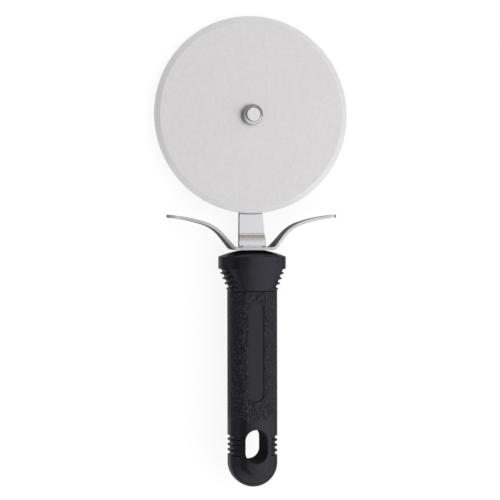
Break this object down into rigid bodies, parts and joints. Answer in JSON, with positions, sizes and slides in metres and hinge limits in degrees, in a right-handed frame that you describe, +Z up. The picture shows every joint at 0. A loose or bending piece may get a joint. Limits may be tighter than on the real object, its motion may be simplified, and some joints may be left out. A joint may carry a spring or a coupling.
{
  "type": "pizza cutter",
  "caption": "Hand-held pizza cutter: a bevelled steel wheel that spins on a rivet, a jogged shank, a winged finger guard and a soft black handle with a hang hole.",
  "frame": {"origin": "under the middle of the whole tool, on the surface that it lies on", "axes": "+Z up, away from the surface and towards the rivet's head; +Y from the handle's butt towards the wheel; the tool lies on its back, its wheel end about 4 degrees lower than its butt"},
  "size_m": [0.1016, 0.2422, 0.0299],
  "materials": {
    "blade_steel": "satin, fine brushed",
    "rivet_steel": "polished",
    "shank_steel": "satin, tumbled",
    "guard_steel": "satin, tumbled",
    "core_plastic": "moulded",
    "soft_grip": "matt, fine grain"
  },
  "bodies": {
    "handle": {"handle_grip": "soft_grip", "handle_core": "core_plastic", "shank": "shank_steel", "finger_guard": "guard_steel", "axle_rivet": "rivet_steel", "front_washer": "rivet_steel", "spacer_washer": "rivet_steel"},
    "wheel": {"cutting_wheel": "blade_steel"}
  },
  "joints": [
    {"name": "wheel_spin", "type": "hinge", "parent": "handle", "child": "wheel", "pos_m": [0, 0.07041, 0.00571], "axis": [0, 0.0706, 0.9975], "continuous": true}
  ]
}
